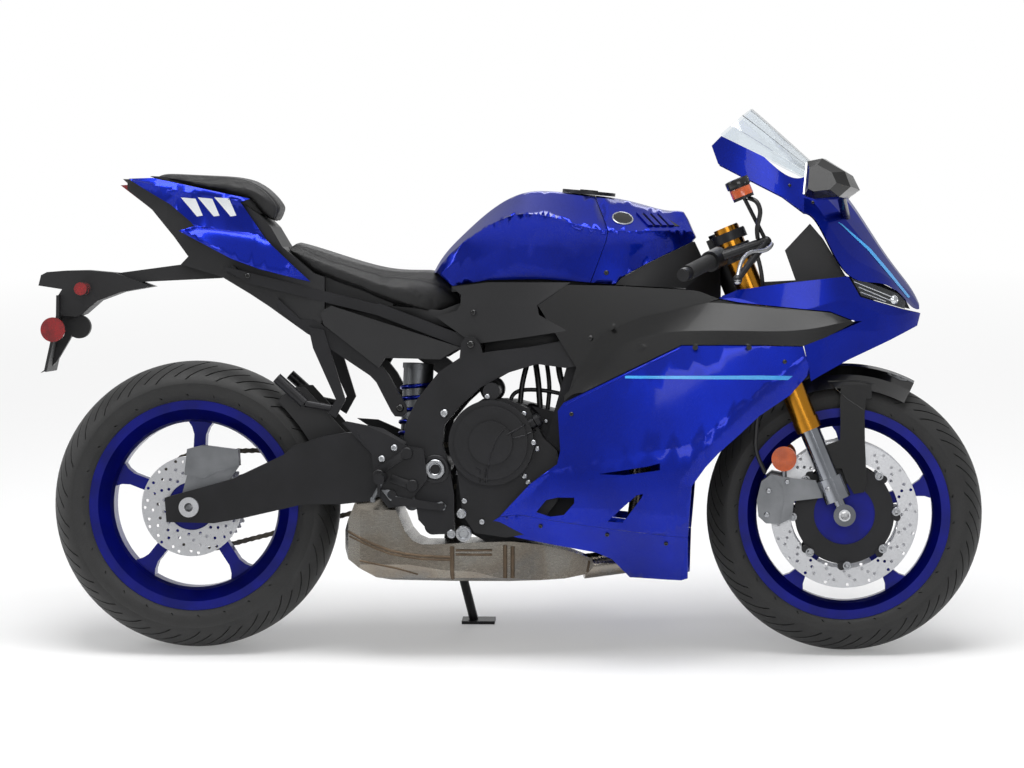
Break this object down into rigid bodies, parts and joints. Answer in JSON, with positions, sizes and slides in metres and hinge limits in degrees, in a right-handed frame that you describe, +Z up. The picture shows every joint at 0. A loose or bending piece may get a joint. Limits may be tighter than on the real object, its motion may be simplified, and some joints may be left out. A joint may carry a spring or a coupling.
{
  "type": "sport bike",
  "caption": "Full-fairing sport motorcycle on its side stand, with clip-on bars, an upside-down fork, a stepped tail and a low-slung silencer.",
  "frame": {"origin": "middle of the bounding box at the ground", "axes": "+X ahead, +Y to the rider's left, +Z up; the bike leans to its left on the side stand"},
  "size_m": [2.0678, 0.7502, 1.1741],
  "materials": {
    "black_metal": "satin",
    "black_plastic": "matt",
    "blue_paint": "gloss metallic",
    "blue_rim": "gloss paint",
    "chain_steel": "oiled",
    "clear_screen": "clear",
    "engine_metal": "cast",
    "exhaust_steel": "heat tinted",
    "gloss_black": "gloss",
    "gold_tube": "anodised",
    "grey_alloy": "satin",
    "grip_rubber": "matt",
    "lamp_clear": "gloss",
    "lamp_orange": "gloss",
    "lamp_red": "gloss",
    "mirror": "polished",
    "plated": "polished",
    "rubber_hose": "satin",
    "seat_cover": "grained",
    "silver_alloy": "satin",
    "steel": "brushed",
    "tyre_rubber": "matt"
  },
  "bodies": {
    "chassis": {"frame": "black_metal", "subframe": "black_metal", "swingarm": "black_metal", "pivot_pin": "silver_alloy", "rear_axle": "steel", "engine": "engine_metal", "clutch_cover": "black_metal", "left_covers": "black_metal", "radiator": "black_metal", "shock_absorber": "grey_alloy", "silencer": "exhaust_steel", "header_pipes": "exhaust_steel", "drive_chain": "chain_steel", "drive_sprocket": "steel", "fuel_tank": "blue_paint", "tank_cover": "blue_paint", "rider_seat": "seat_cover", "pillion_seat": "seat_cover", "undertail": "black_plastic", "tail_lamp": "lamp_red", "tail_cowls": "blue_paint", "plate_bracket": "black_plastic", "rear_signals": "lamp_red", "side_fairings": "blue_paint", "duct_panels": "gloss_black", "upper_cowl": "blue_paint", "windscreen": "clear_screen", "headlamps": "lamp_clear", "cockpit_panel": "black_plastic", "mirrors": "gloss_black", "mirror_glass": "mirror", "side_covers": "black_plastic", "intake_covers": "gloss_black", "rear_hugger": "black_plastic", "rear_caliper": "grey_alloy", "footrests": "black_metal", "stand_bracket": "black_metal"},
    "steering": {"triple_clamps": "black_metal", "fork_tubes": "gold_tube", "fork_legs": "plated", "front_axle": "steel", "handlebars": "black_metal", "grips": "grip_rubber", "bar_controls": "black_metal", "front_fender": "gloss_black", "front_calipers": "grey_alloy", "front_reflectors": "lamp_orange", "brake_hose": "rubber_hose"},
    "front_wheel": {"front_tyre": "tyre_rubber", "front_rim": "blue_rim", "front_discs": "steel", "disc_carriers": "black_metal"},
    "rear_wheel": {"rear_tyre": "tyre_rubber", "rear_rim": "blue_rim", "rear_disc": "steel", "rear_sprocket": "steel"},
    "side_stand": {"side_stand": "black_metal"},
    "fuel_cap": {"fuel_cap": "black_metal"}
  },
  "joints": [
    {"name": "steering", "type": "hinge", "parent": "chassis", "child": "steering", "pos_m": [0.52063, -0.02417, 0.73297], "axis": [-0.384, 0.1524, 0.9107], "range_deg": [-27, 27]},
    {"name": "front_wheel_spin", "type": "hinge", "parent": "steering", "child": "front_wheel", "pos_m": [0.73403, -0.09666, 0.2998], "axis": [0, 0.9863, -0.165], "continuous": true},
    {"name": "rear_wheel_spin", "type": "hinge", "parent": "chassis", "child": "rear_wheel", "pos_m": [-0.68598, -0.09418, 0.31459], "axis": [0, 0.9863, -0.165], "continuous": true},
    {"name": "side_stand_fold", "type": "hinge", "parent": "chassis", "child": "side_stand", "pos_m": [-0.13398, 0.03088, 0.21367], "axis": [0, 0.9537, 0.3007], "range_deg": [0, 95]},
    {"name": "fuel_cap_open", "type": "hinge", "parent": "chassis", "child": "fuel_cap", "pos_m": [0.2341, 0.01827, 0.98658], "axis": [0, 0.9863, -0.165], "range_deg": [0, 95]}
  ]
}
